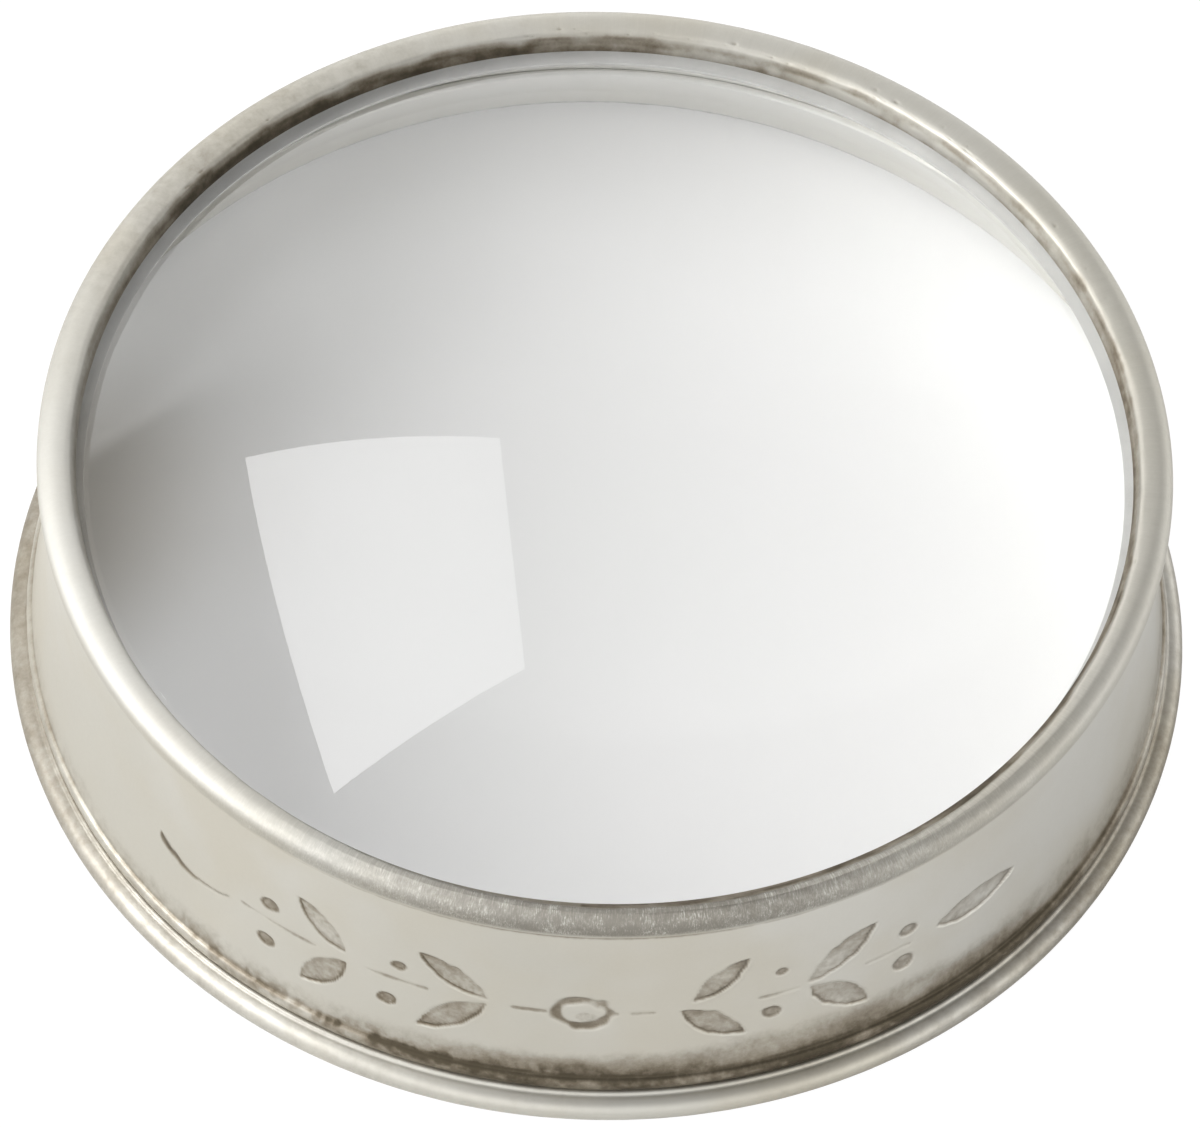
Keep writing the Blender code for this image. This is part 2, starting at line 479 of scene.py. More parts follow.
def dull(name, light, dark, scale, roughness, metallic=0.0):
    """A plain dull material with a mottled tone and a soft grain."""
    n = material_nodes(name)
    tone = n.ramp(n.noise(scale, 4.0, 0.65), 0.32, 0.68)
    grain = n.noise(scale * 6, 3.0)
    rough = n.math("MULTIPLY_ADD", grain, 0.15, roughness - 0.08)
    return n.surface(n.mix(tone, dark, light), rough, metallic, n.bump(grain, 0.00005, 0.5))


def felt_material():
    """Pressed wool: fine crossing fibres in two pale greys."""
    n = material_nodes("felt")
    fibre = n.noise(2200.0, 5.0, 0.8)
    tone = n.weighted(n.noise(260.0, 3.0), 0.5, fibre, 0.6)
    colour = n.mix(n.ramp(tone, 0.38, 0.72), FELT_DARK, FELT_LIGHT)
    n.fill(n.shader, {"Sheen Weight": 0.35, "Sheen Roughness": 0.5})
    rough = n.math("MULTIPLY_ADD", fibre, 0.1, 0.85)
    return n.surface(colour, rough, 0.0, n.bump(fibre, 0.00015, 0.8))


# ---------------------------------------------------------------- the engraved sprig
# Lengths along the wall from the sprig's middle, and heights over the stem, in millimetres.
# A half sprig has leaves as (base, tip, width), dots as (place, radius), stem dashes as
# (start, end), and perhaps a stroke as (start, end, bow).
STEM_HEIGHT = 12.3
SCRIBE_RADIUS = 46.8
SPRIG_HALF_WIDTH = 51.0
LINE_WIDTH = 0.26
BURR_HEIGHT = 0.06
RIGHT_HALF = {
    "leaves": [
        ((9.7, 1.0), (14.1, 5.5), 2.1),
        ((8.8, -0.2), (13.9, -3.8), 2.3),
        ((19.6, 0.4), (25.6, 4.9), 2.5),
        ((19.7, -0.4), (24.8, -4.4), 2.4),
        ((31.8, 0.2), (40.2, 0.6), 2.5),
    ],
    "dots": [((17.2, 2.8), 0.6), ((16.3, -2.1), 0.85), ((28.9, 1.9), 0.85), ((28.3, -2.0), 1.0)],
    "dashes": [(2.9, 3.4), (4.6, 6.4), (15.3, 18.6), (24.8, 29.0)],
    "strokes": [],
}
LEFT_HALF = {
    "leaves": [
        ((7.4, 0.5), (13.3, 4.4), 2.2),
        ((7.6, -0.3), (13.0, -4.5), 2.4),
        ((19.9, 0.9), (24.5, 5.1), 2.2),
        ((19.8, -0.5), (23.6, -4.6), 2.5),
    ],
    "dots": [((15.1, 1.8), 0.75), ((15.9, -2.8), 0.8), ((27.3, 1.9), 0.9), ((27.3, -2.6), 0.85)],
    "dashes": [(2.6, 5.2), (12.6, 17.8), (22.6, 30.0)],
    "strokes": [((31.4, -0.5), (39.8, -0.3), -1.1)],
}


def leaf_places(base, tip, width, x, y):
    """(signed distance, side from -1 to 1, place from base -1 to tip 1) of points x, y to a
    pointed leaf. The distance is negative inside, and side is positive to the left."""
    base, tip = np.array(base), np.array(tip)
    half = np.linalg.norm(tip - base) / 2
    ahead = (tip - base) / (2 * half)
    bow = (half**2 + (width / 2) ** 2) / width
    x, y = x - (base + tip)[0] / 2, y - (base + tip)[1] / 2
    u, v = x * ahead[0] + y * ahead[1], y * ahead[0] - x * ahead[1]
    return np.hypot(u, np.abs(v) + bow - width / 2) - bow, v / (width / 2), u / half


class Engraving:
    """The cuts at places s along the wall and heights y over the stem. Ink, from 0 to 1, is the
    patina left in them. Where a method takes x, it grows away from the sprig's middle."""

    def __init__(self, s, y, seed):
        self.s, self.y = s, y
        self.depth, self.ink, self.burr = np.zeros_like(s), np.zeros_like(s), np.zeros_like(s)
        self.wobble = value_noise(seed, 400, s * 1.3 + 60, y * 1.3) - 0.5
        self.pressure = value_noise(seed + 1, 400, s * 0.5 + 50, y * 0.5)
        self.stipple = value_noise(seed + 2, 997, s * 3.6 + 300, y * 3.6)

    def cut(self, deep, dark):
        np.maximum(self.depth, deep, out=self.depth)
        np.maximum(self.ink, dark, out=self.ink)

    def leaf(self, x, base, tip, width):
        """A pointed leaf: an outline, heavier below and at the tip, and a stippled inside."""
        d, side, place = leaf_places(base, tip, width, x, self.y)
        d = d + self.wobble * 0.25
        heavy = ramp(0.5, -0.5, side) * 0.45 + ramp(0.2, 1.0, place) * 0.35
        weight = np.clip(0.25 + heavy + 0.55 * (self.pressure - 0.4), 0.1, 1.0)
        line = ramp(LINE_WIDTH, LINE_WIDTH * 0.2, np.abs(d + 0.08))
        line = line * ramp(1.15, 1.0, np.abs(place))
        self.cut(line * (0.05 + 0.13 * weight), line * (0.18 + 0.75 * weight))
        inside = ramp(0.10, -0.25, d)
        shade = 0.20 + 0.28 * self.pressure + 0.18 * (self.stipple - 0.5)
        shade = shade + 0.12 * ramp(-0.2, 1.0, place) + 0.16 * ramp(-0.75, 0.0, d)
        self.cut(inside * (0.045 + 0.05 * self.stipple + 0.03 * self.pressure), inside * shade)
        burr = hump(0.22, 0.17, d) * ramp(0.1, -0.5, side) * self.pressure
        np.maximum(self.burr, burr, out=self.burr)

    def stroke(self, x, start, end, bow):
        """An open bowed line that swells towards its end."""
        along = (x - start[0]) / (end[0] - start[0])
        curve = start[1] + (end[1] - start[1]) * along + bow * 4 * along * (1 - along)
        swell = ramp(0.0, 1.0, along) * ramp(1.06, 0.98, along) * ramp(-0.03, 0.03, along)
        line = ramp(0.24 + 0.55 * swell, 0.0, np.abs(self.y - curve + self.wobble * 0.2))
        line = line * ramp(-0.03, 0.03, along) * ramp(1.03, 0.99, along)
        self.cut(line * 0.12, line * (0.35 + 0.65 * swell + 0.2 * (self.pressure - 0.5)))

    def dot(self, x, place, radius):
        d = np.hypot(x - place[0], (self.y - place[1]) * 1.25) - radius + self.wobble * 0.25
        inside = ramp(0.12, -0.15, d)
        edge = ramp(0.35, 0.0, np.abs(d + 0.1))
        self.cut(inside * 0.13, inside * (0.42 + 0.25 * self.stipple) + edge * 0.22)

    def dash(self, x, start, end):
        d = np.hypot(x - np.clip(x, start, end), self.y) + (0.6 - self.pressure) * 0.12
        line = ramp(0.30, 0.05, d)
        self.cut(line * 0.05, line * (0.15 + 0.40 * self.pressure))

    def middle_ring(self):
        """The small ring in the sprig's middle, with a shallow hollow in it."""
        s, y = self.s, self.y
        ring_line = np.abs(np.hypot((s - 0.5) / 2.15, (y - 0.05) / 1.65) - 1) * 1.9
        line = ramp(0.62, 0.10, ring_line + self.wobble * 0.5)
        self.cut(line * 0.17, line * (0.36 + 0.40 * self.pressure + 0.12 * ramp(0.3, -1.0, y)))
        hollow = ramp(1.0, 0.3, np.hypot((s - 0.8) / 1.5, (y + 0.45) / 0.9))
        self.cut(hollow * 0.05, hollow * (0.15 + 0.25 * self.stipple))


def engrave(s, y, seed, halves):
    """(depth in millimetres, ink from 0 to 1) of one sprig: halves are its right and left."""
    cuts = Engraving(s, y, seed)
    for sign, half in zip((1, -1), halves):
        x = s * sign
        for leaf in half["leaves"]:
            cuts.leaf(x, *leaf)
        for stroke in half["strokes"]:
            cuts.stroke(x, *stroke)
        for dot in half["dots"]:
            cuts.dot(x, *dot)
        for dash in half["dashes"]:
            cuts.dash(x, *dash)
    cuts.middle_ring()
    return cuts.depth - BURR_HEIGHT * cuts.burr * (cuts.ink < 0.1), cuts.ink


def cut_sprigs(azimuths, outline, outside):
    """(depth, ink) of the front and back sprigs over the wall's points. The back one is mirrored."""
    shape = (len(azimuths), len(outline))
    depth, ink = np.zeros(shape), np.zeros(shape)
    sprigs = ((0.0, 21, (RIGHT_HALF, LEFT_HALF)), (math.pi, 31, (LEFT_HALF, RIGHT_HALF)))
    for middle, seed, halves in sprigs:
        turn = turn_from(middle, azimuths)
        rows = np.abs(turn) < math.radians(SPRIG_HALF_WIDTH)
        s = np.broadcast_to(turn[rows, None] * SCRIBE_RADIUS, (rows.sum(), len(outline)))
        y = np.broadcast_to(outline[:, 1] - STEM_HEIGHT, s.shape)
        cut, dark = engrave(s, y, seed, halves)
        depth[rows], ink[rows] = cut * outside, dark * outside
    return depth, ink


# ---------------------------------------------------------------- the lens
def lens_outline():
    """Points (radius, height) from the dome's first ring to the underside, without those on the
    axis, and the number of rings on the dome."""
    radius, bottom, apex = extent("dome_lens")
    rings, tight = 72, 0.05
    half_angle = math.asin((radius - GROUND_BEVEL) / DOME_RADIUS)
    angles = half_angle * np.arange(1, rings + 1) / rings
    dome = np.stack([DOME_RADIUS * np.sin(angles), apex - DOME_RADIUS * (1 - np.cos(angles))], 1)
    edge = np.array((radius, bottom + LENS_EDGE_HEIGHT))
    bevel = [dome[-1] * (1 - t) + edge * t for t in (0.04, 0.5, 0.96, 1.0)]
    side = [
        (radius, edge[1] - tight),
        (radius, bottom + LENS_CHAMFER + tight),
        (radius, bottom + LENS_CHAMFER),
    ]
    under = [(radius - LENS_CHAMFER - inset, bottom) for inset in (0.0, tight)]
    return np.vstack([dome, bevel, side, under, [(radius / 2, bottom)]]), rings


def dome_lens():
    """The lens: polished dome, narrow ground bevel and side, flat underside."""
    outline, rings = lens_outline()
    _, bottom, apex = extent("dome_lens")
    around, along = 288, len(outline)
    azimuth = np.linspace(0, 2 * math.pi, around, endpoint=False)[:, None]
    points = turned_points(outline[:, 0], azimuth, outline[:, 1]).reshape(-1, 3)
    points = np.vstack([points, np.array([[0, 0, apex], [0, 0, bottom]]) * MM])
    top, under = around * along, around * along + 1
    polished, ground, flat = 0, 1, 2
    last = along - 1
    strips = [polished] * rings + [ground] * (last - rings - 2) + [flat] * 2
    faces, slots = [], []
    for j in range(around):
        here, beside = j * along, (j + 1) % around * along
        faces.append((top, here, beside))
        faces += [(here + i, here + i + 1, beside + i + 1, beside + i) for i in range(last)]
        faces.append((here + last, under, beside + last))
        slots += [polished, *strips, flat]
    materials = [
        glass("lens_glass", 0.0, CLEAR),
        glass("ground_edge", 0.35, GROUND),
        glass("lens_underside", 0.0, CLEAR, mirror=False),
    ]

    # Painted shade on the left: a brownish grey tint in the glass stands in for the shade seen through
    # the lens there
    away = np.hypot(points[:, 0] / MM + 46.0, (points[:, 1] / MM + 7.0) * 0.8)
    marks = {"painted_shade": ramp(17.0, 3.0, away)}
    piece = solid("lens", points, faces, materials, "dome_lens", marks)
    piece.data.polygons.foreach_set("material_index", slots)
    return piece


# ---------------------------------------------------------------- the rim band
def rim_outline(lip):
    """The band's outline: a steep inner slope, a flat crown and a rounded outer side."""
    outer, bottom, _ = extent("rim_band")
    bore = extent("dome_lens")[0] + GAP
    corners = smoothed([
        (lip, bottom + 1.25),
        (lip + 0.03, bottom + 1.50),
        (lip + 0.30, bottom + 2.45),
        (lip + 0.60, bottom + 3.00),
        (lip + 1.95, bottom + 3.02),
        (outer + 0.10, bottom + 2.20),
        (outer, bottom + 0.60),
        (outer - 0.45, bottom),
    ])
    corners += [(bore, bottom, 0.15), (bore, bottom + REBATE_HEIGHT, 0.1)]

    def spacing(point):
        slope_or_crown = point[0] < 46 or point[1] > 25
        return 0.13 if slope_or_crown else 0.4

    return resample(rounded(corners), spacing)


def rim_pits(az, r, lip):
    """How deep each point lies in a pit, from 0 to 1. The pits mark the lip at the back."""
    draw = np.random.default_rng(11)
    holes = np.zeros(np.broadcast(az, r).shape)
    for _ in range(PIT_COUNT):
        at = math.radians(draw.normal(172, 40))
        reach, deep = draw.uniform(0.05, 0.11), draw.uniform(0.3, 0.9)
        centre = lip + 0.55 + abs(draw.normal(0, 0.35))
        across = turn_from(at, az) * r / draw.uniform(1.0, 2.4)
        away = np.hypot(across, (r - centre) * 1.2) / reach
        holes = np.maximum(holes, deep * np.exp(-(away**2)))
    return holes


def rim_band():
    """The burnished band round the lens, with a dark inner slope and file marks at the front."""
    lip = extent("dome_lens")[0] - LIP_OVERHANG
    outline = rim_outline(lip)
    azimuths = even(1400)
    az, r, z = grid(azimuths, outline)
    up, out = z - extent("rim_band")[1], r - lip
    front, once = from_front(az), once_round(az)
    crown_side = ramp(1.6, 2.4, up)
    slope_side = ramp(1.1, 1.3, up)

    # The opening sits towards the front, where the crown's inner edge is worn back
    narrow = OPENING_SHIFT * (1 - np.cos(az)) * ramp(2.0, 0.8, out) * ramp(1.0, 1.25, up)
    worn_back = FRONT_WEAR * hump(16, 46, front) * ramp(2.1, 1.0, out) * ramp(1.3, 2.6, up)

    # The lip wanders, the crown is a little uneven, and pits mark the lip at the back
    lip_band = hump(0.5, 0.35, out) * crown_side
    push = 0.09 * (round_noise(3, 46, az) - 0.5) * lip_band
    push = push + 0.05 * (round_noise(4, 170, az, r * 2.0) - 0.5) * lip_band
    push = push + 0.05 * (round_noise(5, 24, az, r) - 0.5) * ramp(0.4, 1.2, up)
    push = push + 0.014 * (round_noise(6, 700, az + r * 0.01, r * 0.6) - 0.5) * crown_side
    holes = rim_pits(az, r, lip) * slope_side
    push = push - PIT_DEPTH * holes

    # A burnished burr runs along the lip at the back right
    burr = hump(145, 36, once) * hump(0.12, 0.12, out) * slope_side
    burr = burr * (0.3 + 0.7 * round_noise(9, 260, az))
    push = push + 0.05 * burr

    # Patina fills the inner slope, least at the back right and the left
    clean = 1 - 0.35 * hump(135, 42, once) - 0.8 * hump(300, 62, once)
    shade_edge = out + 0.30 * (round_noise(8, 150, az) - 0.5)
    slope = ramp(0.62, 0.12, shade_edge) ** 0.8 * clean * slope_side
    streak = 0.75 + 0.5 * round_noise(10, 90, az, r * 9.0)
    # Painted shadow also darkens the band's underside
    dirt_and_shade = slope * streak * 0.95 + ramp(0.75, 0.1, up) * 0.7 + holes * 0.6 - burr
    # Painted shade dulls the band at the right; it is also darker at the left back and a little at the
    # back
    dirt_and_shade = dirt_and_shade + 0.10 * hump(85, 50, front) + 0.25 * hump(-128, 34, front)
    dirt_and_shade = dirt_and_shade + 0.06 * hump(180, 60, once)
    worn = (0.12 + 1.1 * hump(6, 37, front)) * ramp(0.5, 1.2, up) * (1 - 0.7 * slope)
    # Painted highlight: the crown is made pale and dull at the front left, through the point value
    # "inner"
    pale = 0.50 * hump(-64, 40, front) * (1 - slope) * crown_side
    marks = {"dirt_and_shade": np.clip(dirt_and_shade, 0, MOST_DIRT_AND_SHADE), "worn": worn, "inner": pale}
    material = pewter("rim_pewter", RIM_ROUGHNESS, filed=True)
    widen = worn_back - narrow
    return ring("rim", outline, azimuths, material, "rim_band", push, marks, widen)


# ---------------------------------------------------------------- the flared wall
def wall_outline():
    """The flared wall's outline, the hem's radius and the height of the hem's top."""
    _, bottom, top = extent("flared_wall")
    top_radius = extent("dome_lens")[0] + GAP + WALL_THICKNESS
    hem_top = bottom + HEM_HEIGHT
    heights = np.linspace(top, hem_top, 40)
    outer = top_radius + WALL_FLARE * ((top - heights) / (top - hem_top)) ** FLARE_POWER
    hem = outer[-1]
    side = [(top_radius, top, 0.15)] + [(r, z, 0) for r, z in zip(outer[1:], heights[1:])]
    turns = np.radians(np.linspace(78, -78, 15))
    ridge = [(hem - 0.02 + 0.46 * math.cos(a), hem_top - 0.75 + 0.72 * math.sin(a), 0) for a in turns]
    foot = [(hem - 0.1, bottom, 0.1), (hem - WALL_THICKNESS, bottom, 0.1)]
    inner = [(r - WALL_THICKNESS, z, 0) for r, z in zip(outer[:0:-6], heights[:0:-6])]
    inner[0] = (*inner[0][:2], 0.1)
    corners = side + ridge + foot + inner + [(top_radius - WALL_THICKNESS, top, 0.1)]
    return rounded(corners), hem, hem_top


def wall_spacing(point, hem):
    """The distance between points: least where the sprigs are, most on the inside."""
    outside = point[0] > max(hem - 1.75, 46.35)
    if outside and 6.8 < point[1] < 18.2:
        return 0.185
    return 0.28 if outside else 2.5


def wall_dirt_and_shade(az, z, up, top):
    """Patina on the wall's outer side, and a painted shadow under the rim band. up is the height over
    the hem's top.
    """
    front, once = from_front(az), once_round(az)
    right = hump(34, 36, front)
    low = (0.45 + 0.38 * right) * ramp(3.4 + 1.6 * right, 1.0, up) ** 1.4
    low = low + 0.22 * ramp(1.4, -0.4, up)
    groove = 0.07 * ramp(-0.8, -1.35, up)
    crease = 0.35 * hump(0.05, 0.20, up)
    patch = 0.55 + 0.9 * round_noise(44, 60, az, z * 0.5)
    share = 0.25 + 0.80 * hump(14, 64, front) + 0.35 * hump(170, 60, once)
    dirt_and_shade = (low * patch + groove) * share + crease * patch

    # A crust over the hem at the left front, and specks rubbed bright on its ridge
    crust = 0.6 * round_noise(46, 250, az, z * 0.9) + 0.4 * round_noise(47, 700, az, z * 2.6)
    crust = ramp(0.42, 0.72, crust) * hump(0.15, 0.95, up)
    dirt_and_shade = dirt_and_shade + 0.42 * crust * hump(-22, 34, front)
    rubbed = ramp(0.5, 0.95, round_noise(45, 460, az, z * 2.0))
    dirt_and_shade = dirt_and_shade - 0.22 * hump(-0.55, 0.30, up) * rubbed

    # Painted shadow: a dark line on the wall under the rim band
    return dirt_and_shade + 0.9 * ramp(top - 0.85, top - 0.55, z) * hump(10, 75, front)


def lining(back, z):
    """How pale a hidden inner face is: palest at the back and the top, where the lens shows it, and
    darker lower down as painted shade.
    """
    return back * ramp(-20.0, 12.0, z)


def flared_wall():
    """The wall, with a leaf sprig cut into the front and another into the back."""
    outline, hem, hem_top = wall_outline()
    outline = resample(outline, lambda p: wall_spacing(p, hem))
    azimuths = spaced(0.235, 1.3, SPRIG_HALF_WIDTH)
    az, r, z = grid(azimuths, outline)
    up = z - hem_top
    facing = outward(outline)[:, 0]
    outside, inside = (facing > 0.3) & (r > 46.3), facing < -0.3

    depth, ink = cut_sprigs(azimuths, outline, outside)
    push = 0.05 * (round_noise(41, 20, az, z * 0.12) - 0.5)
    push = push + 0.012 * (round_noise(42, 130, az, z * 0.8) - 0.5)
    push = push + 0.06 * (round_noise(43, 300, az, z * 0.8) - 0.6) * hump(-0.7, 0.6, up)
    push = push * outside - depth

    back = hump(150, 122, once_round(az))
    outer_dirt_and_shade = wall_dirt_and_shade(az, z, up, extent("flared_wall")[2])
    # Painted shade: the inner faces darken away from the back
    dirt_and_shade = np.where(outside, outer_dirt_and_shade, 0.9 * (1 - back) * inside)
    # Painted highlight: the outer face is made pale at the right front
    painted_highlight_right = 0.28 * hump(66, 38, from_front(az)) * ramp(1, 5, up)
    inner = lining(back, z) * inside + painted_highlight_right * outside
    marks = {"dirt_and_shade": np.clip(dirt_and_shade, 0, MOST_DIRT_AND_SHADE), "ink": ink, "inner": inner}
    material = pewter("wall_pewter", WALL_ROUGHNESS, engraved=True)
    return ring("wall", outline, azimuths, material, "flared_wall", push, marks)


# ---------------------------------------------------------------- the foot
def foot_outline():
    """The foot's outline, and the height of the bead's top."""
    outer, bottom, top = extent("foot_ring")
    felt_outer, _, felt_top = extent("felt_ring")
    bead_top = bottom + 2 * BEAD_RADIUS
    land = bead_top + 0.28
    bead = arc((outer - BEAD_RADIUS - 0.01, bottom + BEAD_RADIUS), BEAD_RADIUS, 90, -90, 26)
    corners = [(*point, 0) for point in bead]
    corners += [
        (felt_outer + GAP, bottom, 0.1),
        (felt_outer + GAP, felt_top + GAP, 0.05),
        (FOOT_INNER_RADIUS, felt_top + GAP, 0.25),
        (SPIGOT_RADIUS - SPIGOT_THICKNESS, bead_top, 0.3),
        (SPIGOT_RADIUS - SPIGOT_THICKNESS, top, 0.3),
        (SPIGOT_RADIUS - 0.17, top, 0.05),
        (SPIGOT_RADIUS, land, 0.05),
        (outer - 1.45, land, 0.2),
    ]
    return resample(rounded(corners), lambda p: 0.2 if p[0] > 47.5 else 0.8), bead_top


def foot_ring():
    """The smooth bead that the wall stands on, with the spigot and the felt's recess."""
    outline, bead_top = foot_outline()
    azimuths = even(1200)
    az, r, z = grid(azimuths, outline)
    front = from_front(az)
    face, bead_side = ramp(47.8, 48.6, r), r > 47.2
    push = 0.05 * (round_noise(51, 26, az, z) - 0.5) - 0.02
    push = (push + 0.014 * (round_noise(52, 260, az, z) - 0.5)) * face
    push = np.minimum(push, 0.0)

    # The bead is darker in the gap under the wall and underneath; painted shade darkens it at the right
    # and at the left, and the inner faces away from the back
    gap_side = ramp(bead_top - 0.22, bead_top - 0.02, z) * ramp(48.75, 48.2, r) * (r > 47)
    dirt_and_shade = gap_side * (0.05 + 0.28 * hump(14, 58, front)) + 0.2 * ramp(0.9, 0.25, z)
    dirt_and_shade = dirt_and_shade + 0.50 * hump(66, 34, front) * face
    back = hump(160, 115, once_round(az))
    dirt_and_shade = np.where(r < 47.2, 0.9 * (1 - back), dirt_and_shade) + 0.06 * round_noise(53, 90, az, z)
    dirt_and_shade = dirt_and_shade + 0.60 * hump(-85, 60, front) * bead_side
    # Painted highlight: the bead is made pale at the front, through the point value "inner"
    inner = lining(back, z) * (r < 46.6) + 0.16 * hump(-16, 56, front) * face
    marks = {"dirt_and_shade": np.clip(dirt_and_shade, 0, MOST_DIRT_AND_SHADE), "inner": inner}
    material = pewter("foot_pewter", FOOT_ROUGHNESS, warm=1.0)
    return ring("foot", outline, azimuths, material, "foot_ring", push, marks)


# ---------------------------------------------------------------- the hidden rings
def lens_seat():
    """The ring under the lens. Its inner face runs in one smooth cove down to the wall."""
    outer, bottom, top = extent("lens_seat_ring")
    inner = outer - SEAT_WIDTH
    cove = smoothed([
        (outer - 0.1, bottom),
        (outer - 0.2, bottom + 1.2),
        (outer - 0.6, bottom + 2.6),
        (inner + 0.4, top - 0.8),
        (inner, top - 0.12),
    ])
    corners = [(inner, top, 0.03), (outer, top, 0.1), (outer, bottom, 0.1)] + cove
    outline = resample(rounded(corners), lambda p: 0.25)
    azimuths = even(480)
    push = -0.02 * round_noise(71, 160, azimuths[:, None], outline[:, 1])
    material = dull("seat_pewter", SEAT_LIGHT, SEAT_DARK, 300.0, 0.6, metallic=1.0)
    return ring("lens_seat", outline, azimuths, material, "lens_seat_ring", push)


def lens_bedding():
    """The soft ring squeezed between the lens and its seat."""
    outer, bottom, top = extent("lens_bedding_ring")
    inner, low, high = outer - BEDDING_WIDTH, bottom - BEDDING_SQUEEZE, top + BEDDING_SQUEEZE
    corners = [(inner, high, 0.04), (outer, high, 0.1), (outer, low, 0.1), (inner, low, 0.04)]
    outline = resample(rounded(corners), lambda p: 0.15)
    azimuths = even(480)
    push = -0.015 * round_noise(81, 200, azimuths[:, None], outline[:, 1])
    material = dull("bedding_rubber", RUBBER_LIGHT, RUBBER_DARK, 220.0, 0.7)
    slot, node = "bedding_rubber", "lens_bedding_ring"
    return ring("lens_bedding", outline, azimuths, material, node, push)


def felt_ring():
    """Pressed felt with soft worn edges, flat where it meets the table."""
    outer, bottom, top = extent("felt_ring")
    inner = outer - FELT_WIDTH
    corners = [(inner, top, 0.15), (outer, top, 0.15), (outer, bottom, 0.2), (inner, bottom, 0.2)]
    outline = resample(rounded(corners), lambda p: 0.2)
    azimuths = even(900)
    az, r, z = grid(azimuths, outline)
    push = -0.10 * round_noise(61, 700, az, r * 3 + z * 3) * ramp(bottom, bottom + 0.1, z)
    return ring("felt_pad", outline, azimuths, felt_material(), "felt_ring", push)


# ---------------------------------------------------------------- stage
def stage():
    """A plain white floor. What the camera sees of it directly is lifted, so shadows stay faint."""
    n = material_nodes("floor")
    tone = n.ramp(n.noise(6.0, 2.0), 0.3, 0.7)
    colour = n.mix(tone, FLOOR_DARK, FLOOR_LIGHT)
    n.fill(n.shader, {"Base Color": colour, "Roughness": 0.9, "Specular IOR Level": 0.0})
    lift = n.add("ShaderNodeEmission")
    n.fill(lift, {"Strength": FLOOR_WHITE})
    seen = n.add("ShaderNodeLightPath").outputs["Is Camera Ray"]
    share = n.math("MULTIPLY", seen, FLOOR_LIFT)
    material = n.show(n.mix_shader(share, n.shader.outputs[0], lift.outputs[0]))
    mesh = bpy.data.meshes.new("floor")
    angles = np.linspace(0, 2 * math.pi, 96, endpoint=False)
    rim = [(FLOOR_RADIUS * math.cos(a), FLOOR_RADIUS * math.sin(a), 0) for a in angles]
    mesh.from_pydata(rim, [], [range(len(rim))])
    mesh.materials.append(material)
    floor = bpy.data.objects.new("floor", mesh)
    bpy.context.scene.collection.objects.link(floor)


def softbox(name, at, right, faces, side, radiance, fall=1.0):
    """A square light of the given radiance, which the camera doesn't see directly. Across its
    face the light drops to the share fall."""
    light = bpy.data.lights.new(name, "AREA")
    light.shape = "SQUARE"
    light.size = side
    light.energy = radiance * math.pi * side**2
    if fall < 1.0:
        n = Nodes(light, "UV")
        grade = n.ramp(n.split(n.place)["X"], 0.0, 1.0, 1.0, fall, "LINEAR")
        n.fill(n.tree.nodes["Emission"], {"Strength": grade})
    box = bpy.data.objects.new(name, light)
    back = -faces.normalized()
    across = (right - right.dot(back) * back).normalized()
    turn = Matrix([across, back.cross(across), back]).transposed()
    box.matrix_world = Matrix.Translation(at) @ turn.to_4x4()
    box.visible_camera = False
    bpy.context.scene.collection.objects.link(box)


def bearing(azimuth, elevation):
    """A direction: azimuth 0 is +Y and grows towards +X, in degrees."""
    a, e = math.radians(azimuth), math.radians(elevation)
    return Vector((math.sin(a) * math.cos(e), math.cos(a) * math.cos(e), math.sin(e)))


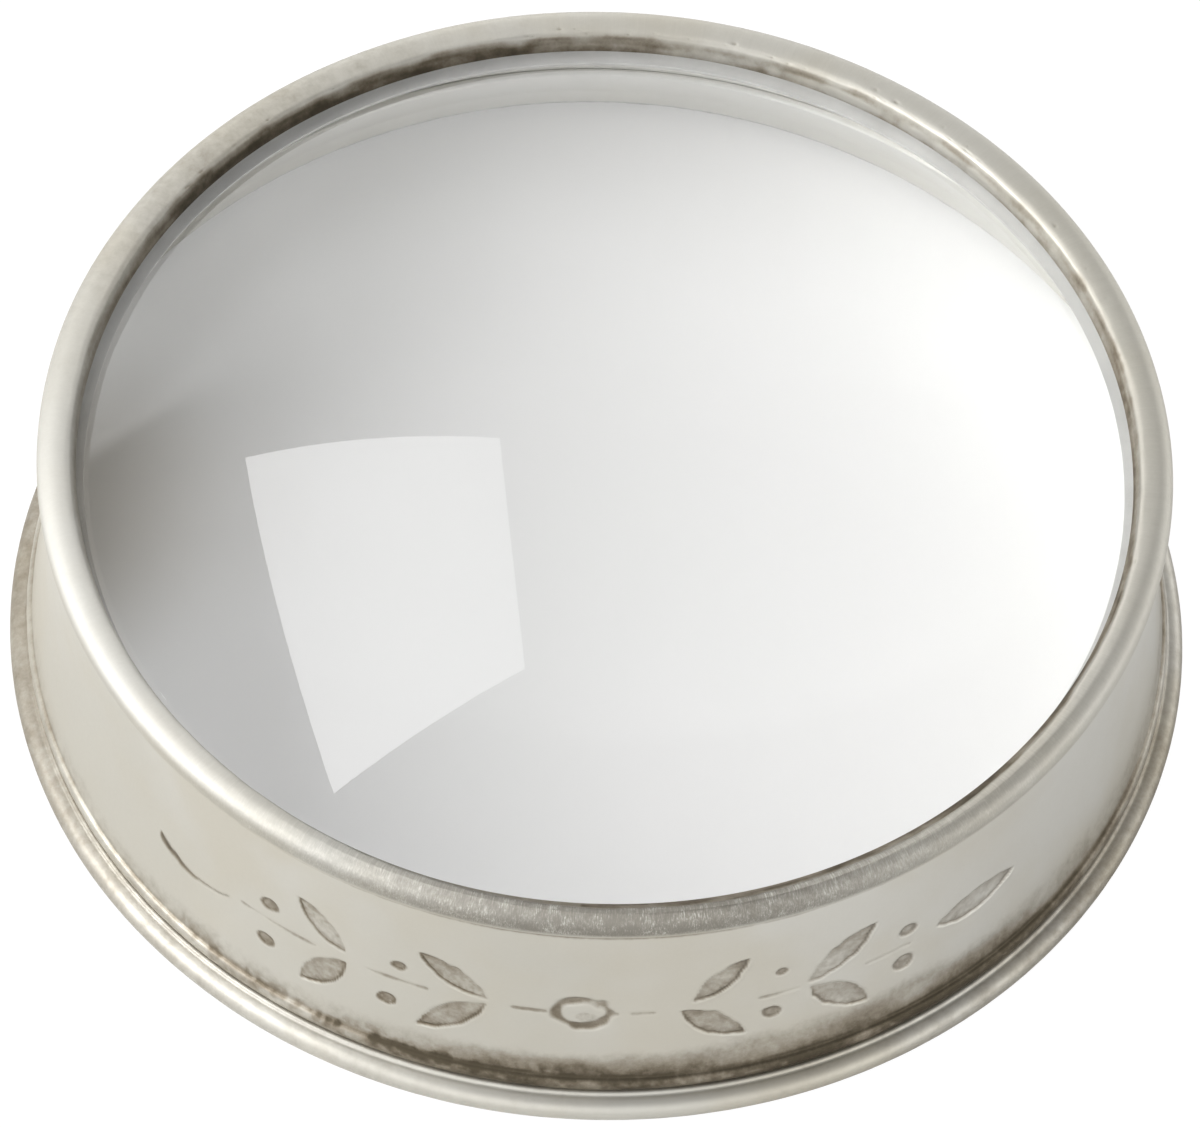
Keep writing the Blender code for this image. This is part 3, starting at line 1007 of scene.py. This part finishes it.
def room():
    """The studio round the object: a pale wall behind, up to a top edge that is lower at the
    left, a wall in front, a bright panel at each side and a dimmer ceiling."""
    world = bpy.data.worlds.new("studio")
    n = Nodes(world, "Generated")
    x, y, z = n.split(n.place)

    # The wall behind: blurred at its top edge, and dimmer towards the left
    slope = n.math("DIVIDE", z, n.math("MAXIMUM", y, 0.02))
    blur = n.ramp(x, -0.60, -0.15, 0.05, 0.75)
    edge = n.ramp(x, -0.5, -0.2, WALL_EDGE_LEFT, WALL_EDGE)
    low_edge, high_edge = n.math("SUBTRACT", edge, blur), n.math("ADD", edge, blur)
    wall_behind = n.ramp(slope, low_edge, high_edge, 1.0, 0.0)
    dim = n.math("MULTIPLY", n.ramp(x, -0.52, -0.34, 0.33, 0.0), n.ramp(slope, 0.35, 0.85))
    wall_behind = n.math("MULTIPLY", wall_behind, n.math("SUBTRACT", 1.0, dim))

    # The wall all round
    wall_front = n.ramp(z, 0.45, 0.8, 1.0, 0.0)
    behind = n.ramp(y, -0.1, 0.3)
    ahead = n.math("MULTIPLY", wall_front, n.math("SUBTRACT", 1.0, behind))
    wall = n.math("MULTIPLY_ADD", wall_behind, behind, ahead)

    # Its light: a panel at each side, and a glow low at the left of the middle
    left_more, right_more = LEFT_LIGHT - MIDDLE_LIGHT, RIGHT_LIGHT - MIDDLE_LIGHT
    left = n.math("MULTIPLY", n.ramp(x, -0.85, -0.25, left_more, 0.0), n.ramp(z, 0.18, 0.42, 0.12, 1.0))
    right = n.math("MULTIPLY", n.ramp(x, 0.2, 0.9, 0.0, right_more), n.ramp(z, 0.2, 0.45, 1.0, 0.0))
    glow = n.math("MULTIPLY", n.ramp(x, -0.15, 0.2, 1.0, 0.0), n.ramp(z, 0.5, 0.75, 1.0, 0.0))
    glow = n.math("MULTIPLY", glow, n.ramp(x, -0.55, -0.35))
    lit = n.math("ADD", n.math("ADD", left, right), n.math("ADD", glow, MIDDLE_LIGHT))
    over = n.ramp(x, -0.6, 0.1, CEILING_LEFT, CEILING)
    strength = n.math("MULTIPLY_ADD", n.math("SUBTRACT", lit, over), wall, over)
    n.fill(n.tree.nodes["Background"], {"Color": WHITE, "Strength": strength})
    bpy.context.scene.world = world


def studio():
    room()
    softbox("key_box", KEY_AT, KEY_RIGHT, KEY_FACES, KEY_SIDE, KEY_RADIANCE, KEY_FALL)
    side_at = bearing(SIDE_AZIMUTH, SIDE_ELEVATION) * SIDE_DISTANCE
    softbox("side_box", side_at, Vector((0, 0, 1)), -side_at, SIDE_SIDE, SIDE_RADIANCE)
    bpy.context.scene.view_settings.view_transform = "Standard"


def camera():
    data = bpy.data.cameras.new("camera")
    data.sensor_width = CAMERA_SENSOR
    data.lens = CAMERA_LENS
    data.clip_start, data.clip_end = 0.05, 20.0
    view = bpy.data.objects.new("camera", data)
    tilt = Matrix.Rotation(math.pi / 2 - CAMERA_PITCH, 4, "X")
    roll = Matrix.Rotation(CAMERA_ROLL, 4, "Z")
    view.matrix_world = Matrix.Translation(CAMERA_AT) @ tilt @ roll
    bpy.context.scene.collection.objects.link(view)
    bpy.context.scene.camera = view


dome_lens()
rim_band()
flared_wall()
foot_ring()
felt_ring()
lens_seat()
lens_bedding()
stage()
studio()
camera()

bpy.context.view_layer.update()
